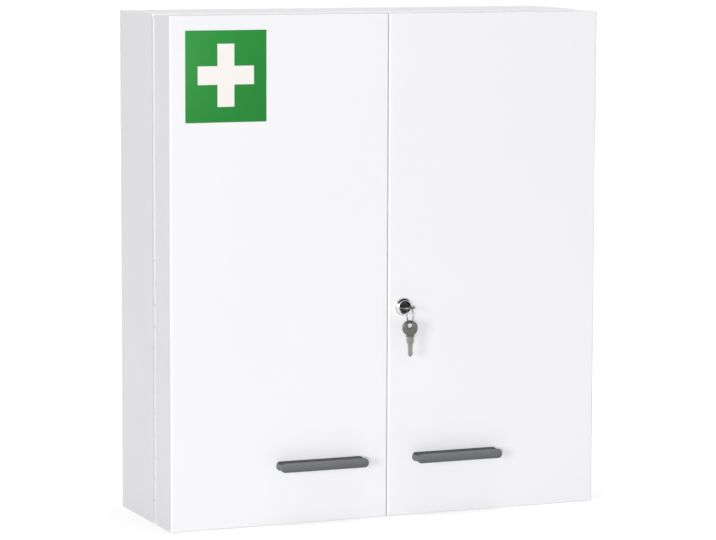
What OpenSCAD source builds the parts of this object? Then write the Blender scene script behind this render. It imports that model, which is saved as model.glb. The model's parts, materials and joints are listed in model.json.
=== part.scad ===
// Two-door lockable medicine cabinet for a wall, in folded and powder-coated sheet steel.
// X runs to the viewer's right, Y from the doors to the wall, Z up.
// The origin is the middle of the base, halfway between the door fronts and the wall.

/* [Cabinet] */
// Width over both side panels
cabinet_w = 545; // [480:5:640]
// Height of the case
cabinet_h = 600; // [540:10:760]
// Depth of the case behind the doors
case_d = 120; // [105:1:200]
// Thickness of the folded steel sheet
sheet_t = 1; // [0.8:0.1:1.4]
// Outer radius of every fold
fold_r = 2; // [1.6:0.1:3]
// Clearance between sheets that are welded together
weld_gap = 0.15; // [0.05:0.05:0.3]

/* [Case] */
// Width of the inward flange down each side of the front
side_flange = 14; // [13:0.5:18]
// Height of the inward flange along the top and bottom of the front
cross_flange = 16; // [14:0.5:20]
// Width of the inward flange round the back
rear_flange = 12; // [8:0.5:16]
// Height of the tabs that weld the top and bottom panels to the sides
weld_tab = 10; // [6:0.5:14]
// Wall fixing holes, spacing across
wall_hole_dx = 400; // [300:10:420]
// Wall fixing holes, spacing up
wall_hole_dz = 480; // [380:10:500]
// Wall fixing holes, diameter
wall_hole_d = 8; // [5:0.5:12]

/* [Doors] */
// Depth of each door box
door_d = 54; // [50:1:70]
// Gap between the two doors
door_gap = 1; // [1:0.1:3]
// Step from the ends of the case to the ends of the doors
door_step = 1; // [0.6:0.1:2]
// Width of the inward flange round the open back of each door
door_flange = 12; // [10:0.5:14]
// Height of the tab that welds an end cap behind the door front
cap_tab = 10; // [6:0.5:14]

/* [Hinges] */
// Space between the back of a door and the front of the case
hinge_gap = 6.4; // [6.2:0.1:7]
// Distance from a side face in to the hinge axis
hinge_inset = 1.2; // [0.8:0.1:1.5]
// Diameter of the hinge knuckles
knuckle_d = 5.8; // [5.2:0.1:5.8]
// Number of knuckles on each hinge, an odd number
knuckle_n = 23; // [15:2:35]
// Space between neighbouring knuckles
knuckle_gap = 0.5; // [0.3:0.1:0.8]
// Diameter of the hinge pin
hinge_pin_d = 2.6; // [2:0.1:3]
// Radial clearance of every pin in its bore
pin_clear = 0.05; // [0.03:0.01:0.08]
// Thickness of the hinge leaves
leaf_t = 1; // [0.8:0.1:1.2]
// Width of the hinge leaves from the axis
leaf_w = 10; // [8:0.5:11]
// Distance from each end of a door to the end of its hinge
hinge_end = 2; // [2:0.5:10]

/* [Shelves] */
// Slot that carries the lower shelf, counted from the bottom
lower_slot = 6; // [5:1:8]
// Slot that carries the upper shelf, counted from the bottom
upper_slot = 13; // [12:1:15]
// Distance between slots
slot_pitch = 25; // [20:1:28]
// Height of the lowest slot
slot_first = 40; // [36:1:60]
// Number of slots in each rail
slot_n = 20; // [17:1:20]
// Width of the slots
slot_w = 5; // [4:0.5:6]
// Height of the slots
slot_h = 8; // [7:0.5:10]
// Width of the shelf rails
rail_w = 14; // [12:0.5:16]
// Depth of the shelf rails
rail_d = 6; // [5:0.5:8]
// Distance from the ends of the case to the ends of the rails
rail_end = 28; // [26:1:32]
// Distance from the folded fronts and the back panel to the rails
rail_setback = 9; // [6:0.5:14]
// Height of the folded shelf edges
shelf_lip = 15; // [12:0.5:20]
// Width of the hem turned in under the shelf front
shelf_hem = 6; // [4:0.5:10]
// Clearance round a shelf
shelf_clear = 1; // [0.5:0.1:2]
// Reach of a shelf clip under the shelf
clip_reach = 11; // [8:0.5:14]
// Thickness of a shelf clip
clip_t = 2; // [1.5:0.1:2.4]
// Depth of a shelf clip's foot below its slot
clip_foot = 7; // [5:0.5:9]
// Clearance of a seated piece
seat_gap = 0.2; // [0.1:0.05:0.3]

/* [Door racks] */
// Height of the lowest rack floor
rack_first = 170; // [140:5:190]
// Distance between rack floors
rack_pitch = 155; // [140:5:170]
// Height of the lip that holds the contents in
rack_lip = 28; // [20:1:40]
// Height of the upstand along the door front
rack_upstand = 8; // [6:0.5:12]
// Height of the tabs that weld a rack to the door sides
rack_tab = 9; // [6:0.5:14]
// Diameter of the rolled edge on a lip
roll_d = 3.2; // [2.6:0.1:4]
// Height of the lower edge of the guard strip at the foot of a door
guard_z = 22; // [18:1:40]
// Length of the tabs folded forward at the ends of the guard strip
guard_tab = 12; // [8:0.5:20]

/* [Handles] */
// Length of a handle
handle_l = 110; // [100:1:120]
// Height of a handle
handle_h = 10.8; // [9:0.1:13]
// Projection of a handle from the door
handle_d = 19; // [16:0.5:24]
// Height of the handles above the base
handle_z = 70.5; // [50:0.5:110]
// Distance from the middle of the cabinet to the near end of a handle
handle_in = 32; // [20:1:50]
// Rounding of the handle's long edges
handle_r = 2.4; // [1.5:0.1:3]
// Rounding of the handle's ends, seen from the front
handle_end_r = 4.2; // [2:0.1:4.4]
// Radius of the finger grooves
groove_r = 7; // [6.5:0.1:9]
// Depth of the finger grooves
groove_depth = 1.9; // [1:0.1:2]
// Distance between the two screws of a handle
handle_screws = 96; // [84:1:96]
// Diameter of the handle screws
screw_d = 3.8; // [3.5:0.1:4.5]
// Length of thread that a screw drives into its handle
screw_grip = 12; // [8:0.5:14]

/* [Lock] */
// Distance from the middle of the cabinet to the lock
lock_x = 20; // [19:0.5:24]
// Height of the lock above the base
lock_z = 252; // [240:1:262]
// Diameter of the lock's front flange
lock_flange_d = 22; // [21:0.5:26]
// Projection of the flange from the door
lock_front = 5; // [4:0.1:6]
// Length of the lock behind the door front
lock_l = 25; // [24.5:0.5:28]
// Diameter of the lock barrel
lock_barrel_d = 19; // [18:0.5:20]
// Distance across the flats of the barrel
lock_flats = 16.5; // [15:0.5:17]
// Diameter of the turning plug
plug_d = 12; // [11:0.1:13]
// Depth of the plug face below the rim
plug_recess = 4; // [2:0.1:4.2]
// Thickness of the lock nut
nut_t = 3; // [2:0.1:4]
// Distance across the flats of the lock nut
nut_af = 24; // [22.5:0.5:26]
// Side of the square tang that drives the cam
tang_w = 7; // [6:0.1:7.5]
// Reach of the cam from the lock axis
cam_reach = 31; // [29:0.5:33]
// Width of the cam
cam_w = 14; // [13:0.5:15]
// Thickness of the cam
cam_t = 2; // [1.5:0.1:2.5]
// Clearance in front of, behind and round the cam in its slots
cam_clear = 1.6; // [1:0.1:2]
// Thickness of the keeper plate
keeper_t = 2; // [1.5:0.1:2.5]

/* [Keys] */
// Thickness of a key
key_t = 1.6; // [1.4:0.1:1.8]
// Width of the key bow
bow_w = 18.2; // [16:0.1:18.4]
// Distance from the shoulder of a key to the middle of its hole
hole_reach = 13.6; // [13.5:0.1:17]
// Diameter of the hole in the bow
bow_hole_d = 6.8; // [6.6:0.1:7.4]
// Width of metal between the hole and the end of the bow
bow_rim = 2.4; // [1.8:0.1:2.6]
// Width of the key collar
collar_w = 9.6; // [9:0.1:11]
// Length of the key blade
blade_l = 23.5; // [20:0.5:23.5]
// Width of the key blade at its root
blade_w = 8.4; // [7:0.1:8.6]
// Clearance of the blade in the keyway
keyway_clear = 0.15; // [0.1:0.05:0.2]
// Mean diameter of the key ring
ring_d = 19.5; // [19.5:0.1:24]
// Diameter of the ring wire
wire_d = 1.2; // [1:0.1:1.2]
// Distance between the two spare keys on the ring
spare_pitch = 2.6; // [2.4:0.1:3.2]
// Play of a key that hangs on the ring
ring_play = 0.5; // [0.4:0.05:0.7]
// Angle at which the second spare key hangs
spare_lean = 2; // [0:1:12]

/* [Catches and latch] */
// Distance from the middle of the cabinet to each magnetic catch
catch_x = 60; // [50:5:200]
// Length of a catch
catch_w = 36; // [28:1:46]
// Height of a catch
catch_h = 9; // [8:0.5:10]
// Distance from the middle of the cabinet to the rubber buffers
buffer_x = 45; // [30:5:200]
// Diameter of a rubber buffer
buffer_d = 8; // [6:0.5:10]
// Space left between a closed door and what it rests against
stop_gap = 0.3; // [0.2:0.05:0.4]
// Distance from the middle of the cabinet to the latch pivot
latch_x = 7; // [6.5:0.1:7.2]
// Distance from the cross flange down to the latch pivot
latch_drop = 9; // [8:0.5:12]
// Reach of the latch arm from its pivot
latch_reach = 20; // [18:0.5:20]
// Width of the latch arm
latch_w = 10; // [9:0.5:11]
// Thickness of the latch arm
latch_t = 2; // [1.5:0.1:2.5]
// Diameter of the latch pivot
latch_pin_d = 5; // [4:0.1:5.5]
// Height of the thumb tab on the latch arm
thumb_h = 9; // [6:0.5:12]

/* [Hidden] */
$fn = 64;
// Overshoot that lets a cut pass right through a face
cut = 1;

// Depth planes, from the door fronts to the wall
overall_d = door_d + hinge_gap + case_d;
door_front = -overall_d/2;
door_back = door_front + door_d;
case_front = door_back + hinge_gap;
case_back = overall_d/2;
sheet_front = door_front + sheet_t;
// Radius inside a fold, which the corners of a piece set into it keep clear of
inner_r = fold_r - sheet_t;

// Door box
door_w = (cabinet_w - door_gap)/2;
door_h = cabinet_h - 2*door_step;
door_in_w = door_w - 2*sheet_t;

// Hinge
half_gap = hinge_gap/2;
hinge_x = -cabinet_w/2 + hinge_inset;
hinge_y = door_back + half_gap;
hinge_z = door_step + hinge_end;
hinge_l = door_h - 2*hinge_end;
knuckle_pitch = hinge_l/knuckle_n;
relief_gap = 0.6;
leaf_relief = knuckle_d/2 + relief_gap;

// Inside of the case
back_y = case_back - 2*sheet_t - weld_gap;
rail_face = cabinet_w/2 - sheet_t - weld_gap - rail_d;
shelf_w = 2*(rail_face - shelf_clear);
shelf_y = case_front + sheet_t + 2*shelf_clear;
shelf_d = back_y - shelf_clear - shelf_y;
rail_ys = [case_front + sheet_t + rail_setback, back_y - rail_setback - rail_w];
lower_shelf_z = slot_first + lower_slot*slot_pitch + clip_t + seat_gap;
upper_shelf_z = slot_first + upper_slot*slot_pitch + clip_t + seat_gap;

// Racks in the doors
rack_d = door_d - 2*sheet_t - 2*weld_gap;
rack_w = door_in_w - 2*weld_gap;

// Lock, seen from the door front
lock_rim_y = door_front - lock_front;
plug_y = lock_rim_y + plug_recess;
lock_end = door_front + lock_l;
cam_y = lock_end + stop_gap;
rim_wall = 1.3;
rim_r = plug_d/2 + rim_wall;
rim_step = 0.8;
rim_land = 0.2;
rim_lap = 0.5;
rim_seat = 0.05;
keyway_spare = 0.8;
keyway_end = plug_y + blade_l + keyway_spare;
tang_end = cam_y + cam_t - seat_gap;
cam_tip_r = 4;
cam_taper = 0.6;
cam_screw_head = [tang_w + 3, 2.5];
cam_screw_spare = 0.3;
// Height at which the tip of the turning cam crosses the edge of the door
cam_swing = sqrt(cam_reach*cam_reach - pow(lock_x - door_gap/2 - sheet_t, 2));
cam_slot_y = cam_y - cam_clear;
cam_slot_d = cam_t + 2*cam_clear;
cam_slot_z = lock_z - cam_w/2 - cam_clear;
cam_slot_h = cam_w/2 + cam_swing + 3*cam_clear;
keeper_border = [6, 8];

// Keys on their ring
shoulder_y = plug_y - seat_gap;
bow_l = hole_reach + bow_hole_d/2 + bow_rim;
hole_y = shoulder_y - hole_reach;
ring_r = ring_d/2;
rim_mid = bow_hole_d/2 + bow_rim/2;
ring_inner = ring_r - wire_d/2 - seat_gap;
ring_y = hole_y - rim_mid;
ring_drop = sqrt(ring_inner*ring_inner - bow_rim*bow_rim/4) - key_t/2;
ring_z = lock_z - ring_drop;
spare_hole_z = ring_z - ring_r - (bow_hole_d/2 - wire_d/2 - ring_play);
// Outline of the blade from the shoulder to the tip, in shares of its length and of its width
bitting = [
    [0, 0.95], [0.3, 0.95], [0.34, 0.66], [0.42, 0.52], [0.5, 0.6], [0.57, 0.5], [0.64, 0.56],
    [0.71, 0.5], [0.77, 0.5], [0.8, 0.6], [0.9, 0.6], [1, 0.2]
];

// Latch that holds the left door to the case
latch_clear = 0.8;
latch_z = cabinet_h - cross_flange - latch_drop;
latch_y = case_front + sheet_t + latch_clear;
stud_head_d = latch_pin_d + 4;
stud_collar_d = latch_pin_d + 3;
stud_head_t = 1.5;
stud_play = 0.1;

// Magnetic catches and rubber buffers on the front flanges of the case
catch_wall = [5, 1.5];
catch_pocket = [catch_w - 2*catch_wall.x, catch_h - 2*catch_wall.y];
catch_z = cabinet_h - (cross_flange + fold_r)/2;
catch_housing_d = hinge_gap - 1;
stop_d = hinge_gap - stop_gap;
buffer_dome = 1.5;

// Handles
handle_mid = -handle_in - handle_l/2;
handle_screw_xs = [handle_mid - handle_screws/2, handle_mid + handle_screws/2];
screw_spare = 0.5;
screw_head_t = 2.4;
screw_head_dome = 1.4*screw_d;

// Finishes
coat = [0.95, 0.955, 0.96];
grey_plastic = [0.33, 0.34, 0.35];
chrome = [0.78, 0.79, 0.80];
zinc = [0.70, 0.71, 0.72];
nickel = [0.62, 0.61, 0.56];
rubber = [0.12, 0.12, 0.13];

// ---- Shared shapes ----

// Rectangle with its four corners rounded
module rounded_rect(size, r) {
    translate([r, 0]) square([size.x - 2*r, size.y]);
    translate([0, r]) square([size.x, size.y - 2*r]);
    for (x = [r, size.x - r], y = [r, size.y - r])
        translate([x, y]) circle(r);
}

// Folded channel: a web along Y with a flange towards +X at each end
module channel(web, near_flange, far_flange, r) {
    reach = max(near_flange, far_flange);
    difference() {
        rounded_rect([reach + r + cut, web], r);
        translate([sheet_t, sheet_t]) rounded_rect([reach + r + cut, web - 2*sheet_t], r - sheet_t);
        translate([near_flange, -cut]) square([reach + r + 2*cut, sheet_t + 2*cut]);
        translate([far_flange, web - sheet_t - cut]) square([reach + r + 2*cut, sheet_t + 2*cut]);
        translate([reach, -cut]) square([r + 2*cut, web + 2*cut]);
    }
}

// Extrudes along +X, with the outline's X turned up and its Y kept
module along_x(length) {
    translate([length, 0, 0]) rotate([0, -90, 0]) linear_extrude(length) children();
}

// Cylinder along +Y from a point
module y_rod(x, y, z, d, length) {
    translate([x, y, z]) rotate([-90, 0, 0]) cylinder(d = d, h = length);
}

module right_hand() {
    mirror([1, 0, 0]) children();
}

// ---- Case ----

// Upright channel, its two flanges cut short at both ends for the folds of the cross pieces
module upright(size, near_flange, far_flange) {
    notch_h = fold_r + weld_gap;
    notch_w = near_flange + far_flange;
    difference() {
        linear_extrude(size.z) channel(size.y, near_flange, far_flange, fold_r);
        for (z = [-cut, size.z - notch_h])
            translate([sheet_t, -cut, z]) cube([notch_w, size.y + 2*cut, notch_h + cut]);
    }
}

// Cross piece hung from its web: flanges down along both edges, notched beside the uprights' own
module cross_piece(size, flanges, notches) {
    ends = [[0, flanges[0], notches[0]], [size.y - fold_r, flanges[1], notches[1]]];
    tab_l = size.y - 2*fold_r;
    difference() {
        mirror([0, 0, 1]) along_x(size.x) channel(size.y, flanges[0], flanges[1], fold_r);
        for (end = ends, x = [-cut, size.x - end[2]])
            translate([x, end[0] - cut, -end[1] - cut])
                cube([end[2] + cut, fold_r + 2*cut, end[1] + cut - fold_r]);
    }
    for (x = [0, size.x - sheet_t])
        translate([x, fold_r, -weld_tab]) cube([sheet_t, tab_l - weld_gap, weld_tab - sheet_t/2]);
}

module side_panel() {
    translate([-cabinet_w/2, case_front, 0])
        upright([side_flange, case_d, cabinet_h], side_flange, rear_flange);
}

module left_side_panel() {
    color(coat) side_panel();
}

module right_side_panel() {
    color(coat) right_hand() side_panel();
}

// Top panel of the case
module cross_panel() {
    panel_w = cabinet_w - 2*sheet_t - 2*weld_gap;
    notches = [side_flange - sheet_t, rear_flange - sheet_t];
    translate([-panel_w/2, case_front, cabinet_h])
        cross_piece([panel_w, case_d], [cross_flange, rear_flange], notches);
}

module top_panel() {
    color(coat) cross_panel();
}

module bottom_panel() {
    color(coat) translate([0, 0, cabinet_h]) mirror([0, 0, 1]) cross_panel();
}

// Back panel, welded to the rear flanges, with the wall fixing holes
module back_panel() {
    color(coat) difference() {
        translate([-cabinet_w/2 + fold_r, back_y, fold_r])
            cube([cabinet_w - 2*fold_r, sheet_t, cabinet_h - 2*fold_r]);
        for (x = [-wall_hole_dx/2, wall_hole_dx/2], z = [-wall_hole_dz/2, wall_hole_dz/2])
            y_rod(x, back_y - cut, cabinet_h/2 + z, wall_hole_d, sheet_t + 2*cut);
    }
}

// ---- Shelves ----

// Two slotted rails on the left side panel
module shelf_rails() {
    for (y = rail_ys)
        translate([-rail_face, y, rail_end]) difference() {
            mirror([1, 0, 0]) linear_extrude(cabinet_h - 2*rail_end)
                channel(rail_w, rail_d, rail_d, fold_r);
            for (i = [0 : slot_n - 1])
                translate([-sheet_t - cut, (rail_w - slot_w)/2, slot_first - rail_end + i*slot_pitch])
                    cube([sheet_t + 2*cut, slot_w, slot_h]);
        }
}

module left_shelf_rails() {
    color(coat) shelf_rails();
}

module right_shelf_rails() {
    color(coat) right_hand() shelf_rails();
}

// Outline of a clip: ledge and foot in front of the rail, hook behind it
module clip_outline() {
    hook_x = -sheet_t - seat_gap;
    polygon([
        [hook_x - clip_t, seat_gap], [seat_gap, seat_gap], [seat_gap, -clip_foot],
        [seat_gap + clip_t, -clip_foot], [seat_gap + clip_t, seat_gap], [clip_reach, seat_gap],
        [clip_reach, clip_t], [hook_x, clip_t], [hook_x, slot_h + clip_t], [hook_x - clip_t, slot_h + clip_t]
    ]);
}

// The four clips under the left ends of both shelves
module shelf_clip_row() {
    clip_w = slot_w - 2*seat_gap;
    for (y = rail_ys, slot = [lower_slot, upper_slot])
        translate([-rail_face, y + (rail_w + clip_w)/2, slot_first + slot*slot_pitch])
            rotate([90, 0, 0]) linear_extrude(clip_w) clip_outline();
}

module shelf_clips() {
    color(zinc) {
        shelf_clip_row();
        right_hand() shelf_clip_row();
    }
}

// Shelf folded down on all four edges, with a hem under the front
module shelf(z) {
    translate([-shelf_w/2, shelf_y, z]) {
        translate([0, 0, shelf_lip]) mirror([0, 0, 1])
            along_x(shelf_w) channel(shelf_d, shelf_lip, shelf_lip, fold_r);
        for (x = [0, shelf_w - sheet_t])
            translate([x, sheet_t/2, 0]) cube([sheet_t, shelf_d - sheet_t, shelf_lip - sheet_t/2]);
        translate([sheet_t/2, sheet_t/2, 0]) cube([shelf_w - sheet_t, shelf_hem, sheet_t]);
    }
}

module lower_shelf() {
    color(coat) shelf(lower_shelf_z);
}

module upper_shelf() {
    color(coat) shelf(upper_shelf_z);
}

// ---- Piano hinges ----

// Leaf with every second knuckle from the given one; side is 1 for the case and -1 for the door
module hinge_leaf(first, side) {
    flange_y = side > 0 ? half_gap - leaf_t : -half_gap;
    translate([hinge_x, hinge_y, hinge_z]) difference() {
        union() {
            difference() {
                translate([0, flange_y, 0]) cube([leaf_w, leaf_t, hinge_l]);
                for (i = [1 - first : 2 : knuckle_n - 1])
                    translate([-cut, flange_y - cut, i*knuckle_pitch - knuckle_gap/2])
                        cube([leaf_relief + cut, leaf_t + 2*cut, knuckle_pitch + knuckle_gap]);
            }
            for (i = [first : 2 : knuckle_n - 1])
                translate([0, 0, i*knuckle_pitch + knuckle_gap/2])
                    cylinder(d = knuckle_d, h = knuckle_pitch - knuckle_gap);
        }
        translate([0, 0, -cut]) cylinder(r = hinge_pin_d/2 + pin_clear, h = hinge_l + 2*cut);
        // Trims the last cut so that the leaf starts and ends with a whole knuckle
        translate([-cut, flange_y - cut, -cut]) cube([leaf_relief, leaf_t + 2*cut, cut + knuckle_gap/2]);
    }
}

module hinge_pin() {
    translate([hinge_x, hinge_y, hinge_z]) cylinder(d = hinge_pin_d, h = hinge_l);
}

module left_hinge_case_leaf() {
    color(zinc) hinge_leaf(0, 1);
}

module right_hinge_case_leaf() {
    color(zinc) right_hand() hinge_leaf(0, 1);
}

module left_hinge_door_leaf() {
    color(zinc) hinge_leaf(1, -1);
}

module right_hinge_door_leaf() {
    color(zinc) right_hand() hinge_leaf(1, -1);
}

module left_hinge_pin() {
    color(zinc) hinge_pin();
}

module right_hinge_pin() {
    color(zinc) right_hand() hinge_pin();
}

// ---- Catches and buffers on the case ----

module catch_housings() {
    color(rubber) for (x = [-catch_x, catch_x])
        translate([x - catch_w/2, case_front - catch_housing_d, catch_z - catch_h/2]) difference() {
            cube([catch_w, catch_housing_d, catch_h]);
            translate([catch_wall.x, -cut, catch_wall.y])
                cube([catch_pocket.x, catch_housing_d + 2*cut, catch_pocket.y]);
        }
}

module catch_magnets() {
    size = [catch_pocket.x - 2*seat_gap, stop_d, catch_pocket.y - 2*seat_gap];
    color(zinc) for (x = [-catch_x, catch_x])
        translate([x - size.x/2, case_front - stop_d, catch_z - size.z/2]) cube(size);
}

// Rubber buffers on the bottom flange, domed towards the doors
module door_buffers() {
    color(rubber) for (x = [-buffer_x, buffer_x])
        translate([x, case_front, cross_flange/2]) rotate([90, 0, 0])
            rotate_extrude() difference() {
                square([buffer_d/2, stop_d]);
                translate([buffer_d/2 - buffer_dome, stop_d - buffer_dome]) difference() {
                    square(buffer_dome + cut);
                    circle(buffer_dome);
                }
            }
}

// ---- Doors ----

// Front, sides and side flanges of a door in one folded sheet, with a slot for the cam
module door_skin() {
    notch = [door_w - 2*sheet_t, door_d, fold_r + weld_gap];
    difference() {
        translate([-cabinet_w/2, door_front, door_step]) difference() {
            linear_extrude(door_h) rounded_rect([door_w, door_d], fold_r);
            translate([sheet_t, sheet_t, -cut]) linear_extrude(door_h + 2*cut)
                rounded_rect([door_in_w, door_d - 2*sheet_t], inner_r);
            translate([door_flange, door_d - fold_r, -cut])
                cube([door_w - 2*door_flange, fold_r + cut, door_h + 2*cut]);
            for (z = [-cut, door_h - notch.z])
                translate([sheet_t, door_d - fold_r, z]) cube([notch.x, fold_r + cut, notch.z + cut]);
        }
        translate([-door_gap/2 - sheet_t - cut, cam_slot_y, cam_slot_z])
            cube([sheet_t + 2*cut, cam_slot_d, cam_slot_h]);
        for (x = handle_screw_xs)
            y_rod(x, door_front - cut, handle_z, screw_d + 2*pin_clear, sheet_t + 2*cut);
    }
}

// End cap of a door, welded behind its front and between its sides
module door_top_cap() {
    size = [door_in_w - 2*weld_gap, door_d - sheet_t - weld_gap];
    translate([sheet_t + weld_gap - cabinet_w/2, sheet_front + weld_gap, cabinet_h - door_step])
        difference() {
            cross_piece(size, [cap_tab, door_flange], [inner_r, door_flange - sheet_t]);
            for (x = [-cut, size.x - inner_r])
                translate([x, -cut, -fold_r - cut]) cube([inner_r + cut, inner_r + cut, fold_r + 2*cut]);
        }
}

module door_bottom_cap() {
    translate([0, 0, cabinet_h]) mirror([0, 0, 1]) door_top_cap();
}

module left_door_skin() {
    color(coat) difference() {
        door_skin();
        y_rod(-latch_x, door_back - sheet_t - cut, latch_z, latch_pin_d + 2*pin_clear, sheet_t + 2*cut);
    }
}

module left_door_top_cap() {
    color(coat) door_top_cap();
}

module left_door_bottom_cap() {
    color(coat) door_bottom_cap();
}

// Barrel of the lock in section: a circle with two flats
module barrel_outline(clearance) {
    intersection() {
        circle(lock_barrel_d/2 + clearance);
        square([lock_barrel_d + 2*cut, lock_flats + 2*clearance], center = true);
    }
}

// Turns an outline to face the front, at the lock
module at_lock(y) {
    translate([lock_x, y, lock_z]) rotate([-90, 0, 0]) children();
}

module right_door_skin() {
    color(coat) difference() {
        right_hand() door_skin();
        at_lock(door_front - cut) linear_extrude(sheet_t + 2*cut) barrel_outline(seat_gap);
    }
}

module right_door_top_cap() {
    color(coat) right_hand() door_top_cap();
}

module right_door_bottom_cap() {
    color(coat) right_hand() door_bottom_cap();
}

// Rack: upstand on the door front, floor, and a lip with a rolled edge; its front corners are nipped off
module rack(z) {
    translate([-door_gap/2 - sheet_t - weld_gap - rack_w, sheet_front + weld_gap, z]) {
        difference() {
            along_x(rack_w) channel(rack_d, rack_upstand, rack_lip, fold_r);
            for (x = [-cut, rack_w - inner_r], y = [-cut, rack_d - inner_r])
                translate([x, y, -cut]) cube([inner_r + cut, inner_r + cut, rack_lip - roll_d/2 + cut]);
        }
        translate([inner_r, rack_d - roll_d/2, rack_lip]) rotate([0, 90, 0])
            cylinder(d = roll_d, h = rack_w - 2*inner_r);
        for (x = [0, rack_w - sheet_t])
            translate([x, fold_r, -rack_tab]) cube([sheet_t, rack_d - 2*fold_r, rack_tab + sheet_t/2]);
    }
}

// Guard strip across the foot of a door, with a tab folded forward at each end
module guard_strip() {
    translate([-door_gap/2 - sheet_t - weld_gap - rack_w, door_back - sheet_t - weld_gap, guard_z]) {
        linear_extrude(rack_lip) rotate(-90) channel(rack_w, guard_tab, guard_tab, fold_r);
        translate([fold_r, -roll_d/2, rack_lip]) rotate([0, 90, 0])
            cylinder(d = roll_d, h = rack_w - 2*fold_r);
    }
}

module left_rack_low() {
    color(coat) rack(rack_first);
}

module left_rack_middle() {
    color(coat) rack(rack_first + rack_pitch);
}

module left_rack_top() {
    color(coat) rack(rack_first + 2*rack_pitch);
}

module left_guard_strip() {
    color(coat) guard_strip();
}

module right_rack_low() {
    color(coat) right_hand() rack(rack_first);
}

module right_rack_middle() {
    color(coat) right_hand() rack(rack_first + rack_pitch);
}

module right_rack_top() {
    color(coat) right_hand() rack(rack_first + 2*rack_pitch);
}

module right_guard_strip() {
    color(coat) right_hand() guard_strip();
}

// ---- Handles ----

// Rectangle waisted on its two long sides, or on its two ends
module waisted_rect(length, height, r, along) {
    offset_y = height/2 + groove_r - groove_depth;
    offset_x = length/2 + groove_r - groove_depth;
    difference() {
        translate([-length/2, -height/2]) rounded_rect([length, height], r);
        if (along)
            for (y = [-offset_y, offset_y]) translate([0, y]) circle(groove_r);
        else
            for (x = [-offset_x, offset_x]) translate([x, 0]) circle(groove_r);
    }
}

// Solid bar handle with rounded ends, grooved all round between its foot and its grip
module handle() {
    difference() {
        translate([handle_mid, door_front - handle_d/2, handle_z]) intersection() {
            translate([-handle_l/2, 0, 0]) along_x(handle_l)
                rotate(90) waisted_rect(handle_d, handle_h, handle_r, true);
            translate([0, 0, -handle_h/2 - cut]) linear_extrude(handle_h + 2*cut)
                waisted_rect(handle_l, handle_d, handle_r, false);
            translate([-handle_l/2, handle_d/2 + cut, -handle_h/2]) rotate([90, 0, 0])
                linear_extrude(handle_d + 2*cut) rounded_rect([handle_l, handle_h], handle_end_r);
        }
        for (x = handle_screw_xs)
            y_rod(x, door_front - screw_grip - screw_spare, handle_z, screw_d + 2*pin_clear,
                screw_grip + screw_spare + cut);
    }
}

// Pan-head screws driven into the handle from inside the door
module handle_screw_pair() {
    for (x = handle_screw_xs) {
        y_rod(x, door_front - screw_grip, handle_z, screw_d, screw_grip + sheet_t + seat_gap);
        translate([x, sheet_front + seat_gap/2, handle_z]) rotate([-90, 0, 0])
            rotate_extrude() intersection() {
                square([screw_d, screw_head_t]);
                translate([0, screw_head_t - screw_head_dome]) circle(screw_head_dome);
            }
    }
}

module left_handle() {
    color(grey_plastic) handle();
}

module right_handle() {
    color(grey_plastic) right_hand() handle();
}

module left_handle_screws() {
    color(zinc) handle_screw_pair();
}

module right_handle_screws() {
    color(zinc) right_hand() handle_screw_pair();
}

// ---- Cam lock ----

// Half section of the rim, from the door face out: a domed bezel round the plug
module rim_section() {
    dome_r = lock_front - rim_step;
    outer = lock_flange_d/2;
    dome_x = outer - dome_r - rim_land;
    intersection() {
        union() {
            square([outer, rim_step]);
            square([dome_x, lock_front]);
            translate([dome_x, rim_step]) circle(dome_r);
        }
        translate([rim_r, 0]) square([outer, lock_front]);
    }
}

module lock_housing() {
    bore_r = plug_d/2 + pin_clear;
    color(chrome) difference() {
        union() {
            at_lock(door_front - rim_seat) mirror([0, 0, 1]) rotate_extrude($fn = 96) rim_section();
            at_lock(plug_y) cylinder(r = rim_r + rim_lap, h = door_front - plug_y);
            at_lock(plug_y) linear_extrude(lock_end - plug_y) barrel_outline(0);
        }
        at_lock(lock_rim_y - cut) cylinder(r = bore_r, h = lock_l + lock_front + 2*cut);
    }
}

module lock_nut() {
    nut_r = nut_af/sqrt(3);
    color(zinc) at_lock(sheet_front + seat_gap/2) difference() {
        cylinder(r = nut_r, h = nut_t, $fn = 6);
        translate([0, 0, -cut]) cylinder(r = lock_barrel_d/2 + pin_clear, h = nut_t + 2*cut);
    }
}

// Turning plug with its keyway and the square tang behind it
module lock_plug() {
    keyway = [blade_w + 2*keyway_clear, key_t + 2*keyway_clear];
    color(chrome) difference() {
        union() {
            at_lock(plug_y) cylinder(d = plug_d, h = lock_end - plug_y);
            at_lock(lock_end) linear_extrude(tang_end - lock_end) square(tang_w, center = true);
        }
        at_lock(plug_y - cut) translate([-keyway.x/2, -keyway.y/2, 0])
            cube([keyway.x, keyway.y, keyway_end - plug_y + cut]);
        at_lock(keyway_end) cylinder(d = screw_d + 2*pin_clear, h = tang_end - keyway_end + cut);
    }
}

// Cam standing upright, which is the unlocked position
module lock_cam() {
    color(zinc) at_lock(cam_y) linear_extrude(cam_t) difference() {
        hull() {
            circle(cam_w/2);
            translate([-cam_w/2, -cam_reach*cam_taper]) square([cam_w, cam_w/2]);
            for (x = [-1, 1])
                translate([x*(cam_w/2 - cam_tip_r), cam_tip_r - cam_reach]) circle(cam_tip_r);
        }
        square(tang_w + 2*pin_clear, center = true);
    }
}

module cam_screw() {
    color(zinc) {
        at_lock(cam_y + cam_t) cylinder(d = cam_screw_head[0], h = cam_screw_head[1]);
        at_lock(keyway_end + cam_screw_spare) cylinder(d = screw_d, h = cam_y + cam_t - keyway_end);
    }
}

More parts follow.
